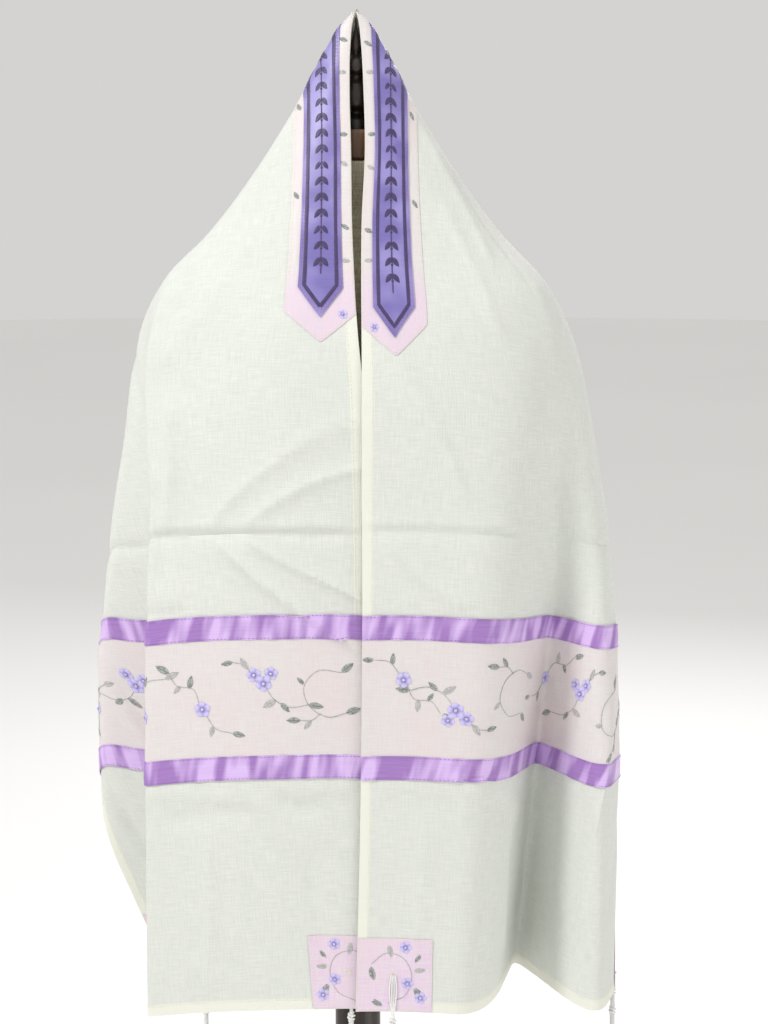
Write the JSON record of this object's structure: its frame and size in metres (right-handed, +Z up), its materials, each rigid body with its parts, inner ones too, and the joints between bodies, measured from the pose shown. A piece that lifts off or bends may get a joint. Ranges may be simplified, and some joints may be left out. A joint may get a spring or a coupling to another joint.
{
  "type": "tallit prayer shawl on a dress form stand",
  "caption": "Long narrow prayer shawl hung over a limbless dress form: open front, ribboned bands across both ends, corner patches with knotted tassels, pointed neckband.",
  "frame": {"origin": "middle of the underside of the stand's base", "axes": "+Z up, +X to the right as seen from the front, +Y from the open front to the back"},
  "size_m": [0.4943, 0.37, 1.6049],
  "materials": {
    "ivory_cloth": "fine open weave, matt with a faint sheen",
    "organza": "sheer blush organza on ivory cloth, with grey vines and lilac flowers",
    "satin_ribbon": "orchid satin, glossy along the folds",
    "neckband_satin": "blue-violet satin with dark purple lines and a plain ornament",
    "pink_organza": "pale pink organza with faint leaves",
    "white_cord": "white spun cord, knotted",
    "linen": "plain tan linen over a firm form",
    "brown_wood": "brown, satin varnish",
    "dark_wood": "near-black stain, satin varnish"
  },
  "bodies": {
    "root": {"shawl_crown": "ivory_cloth", "shawl_left_end": "ivory_cloth", "shawl_right_end": "ivory_cloth", "neckband": "neckband_satin", "neckband_backing": "organza", "left_upper_ribbon": "satin_ribbon", "left_lower_ribbon": "satin_ribbon", "right_upper_ribbon": "satin_ribbon", "right_lower_ribbon": "satin_ribbon", "left_organza_band": "organza", "right_organza_band": "organza", "left_front_patch": "pink_organza", "left_far_patch": "pink_organza", "right_front_patch": "pink_organza", "right_far_patch": "pink_organza", "left_front_tassel": "white_cord", "left_far_tassel": "white_cord", "right_front_tassel": "white_cord", "right_far_tassel": "white_cord", "dress_form_body": "linen", "neck_block": "brown_wood", "finial": "dark_wood", "pole": "dark_wood", "base": "dark_wood"}
  },
  "joints": []
}
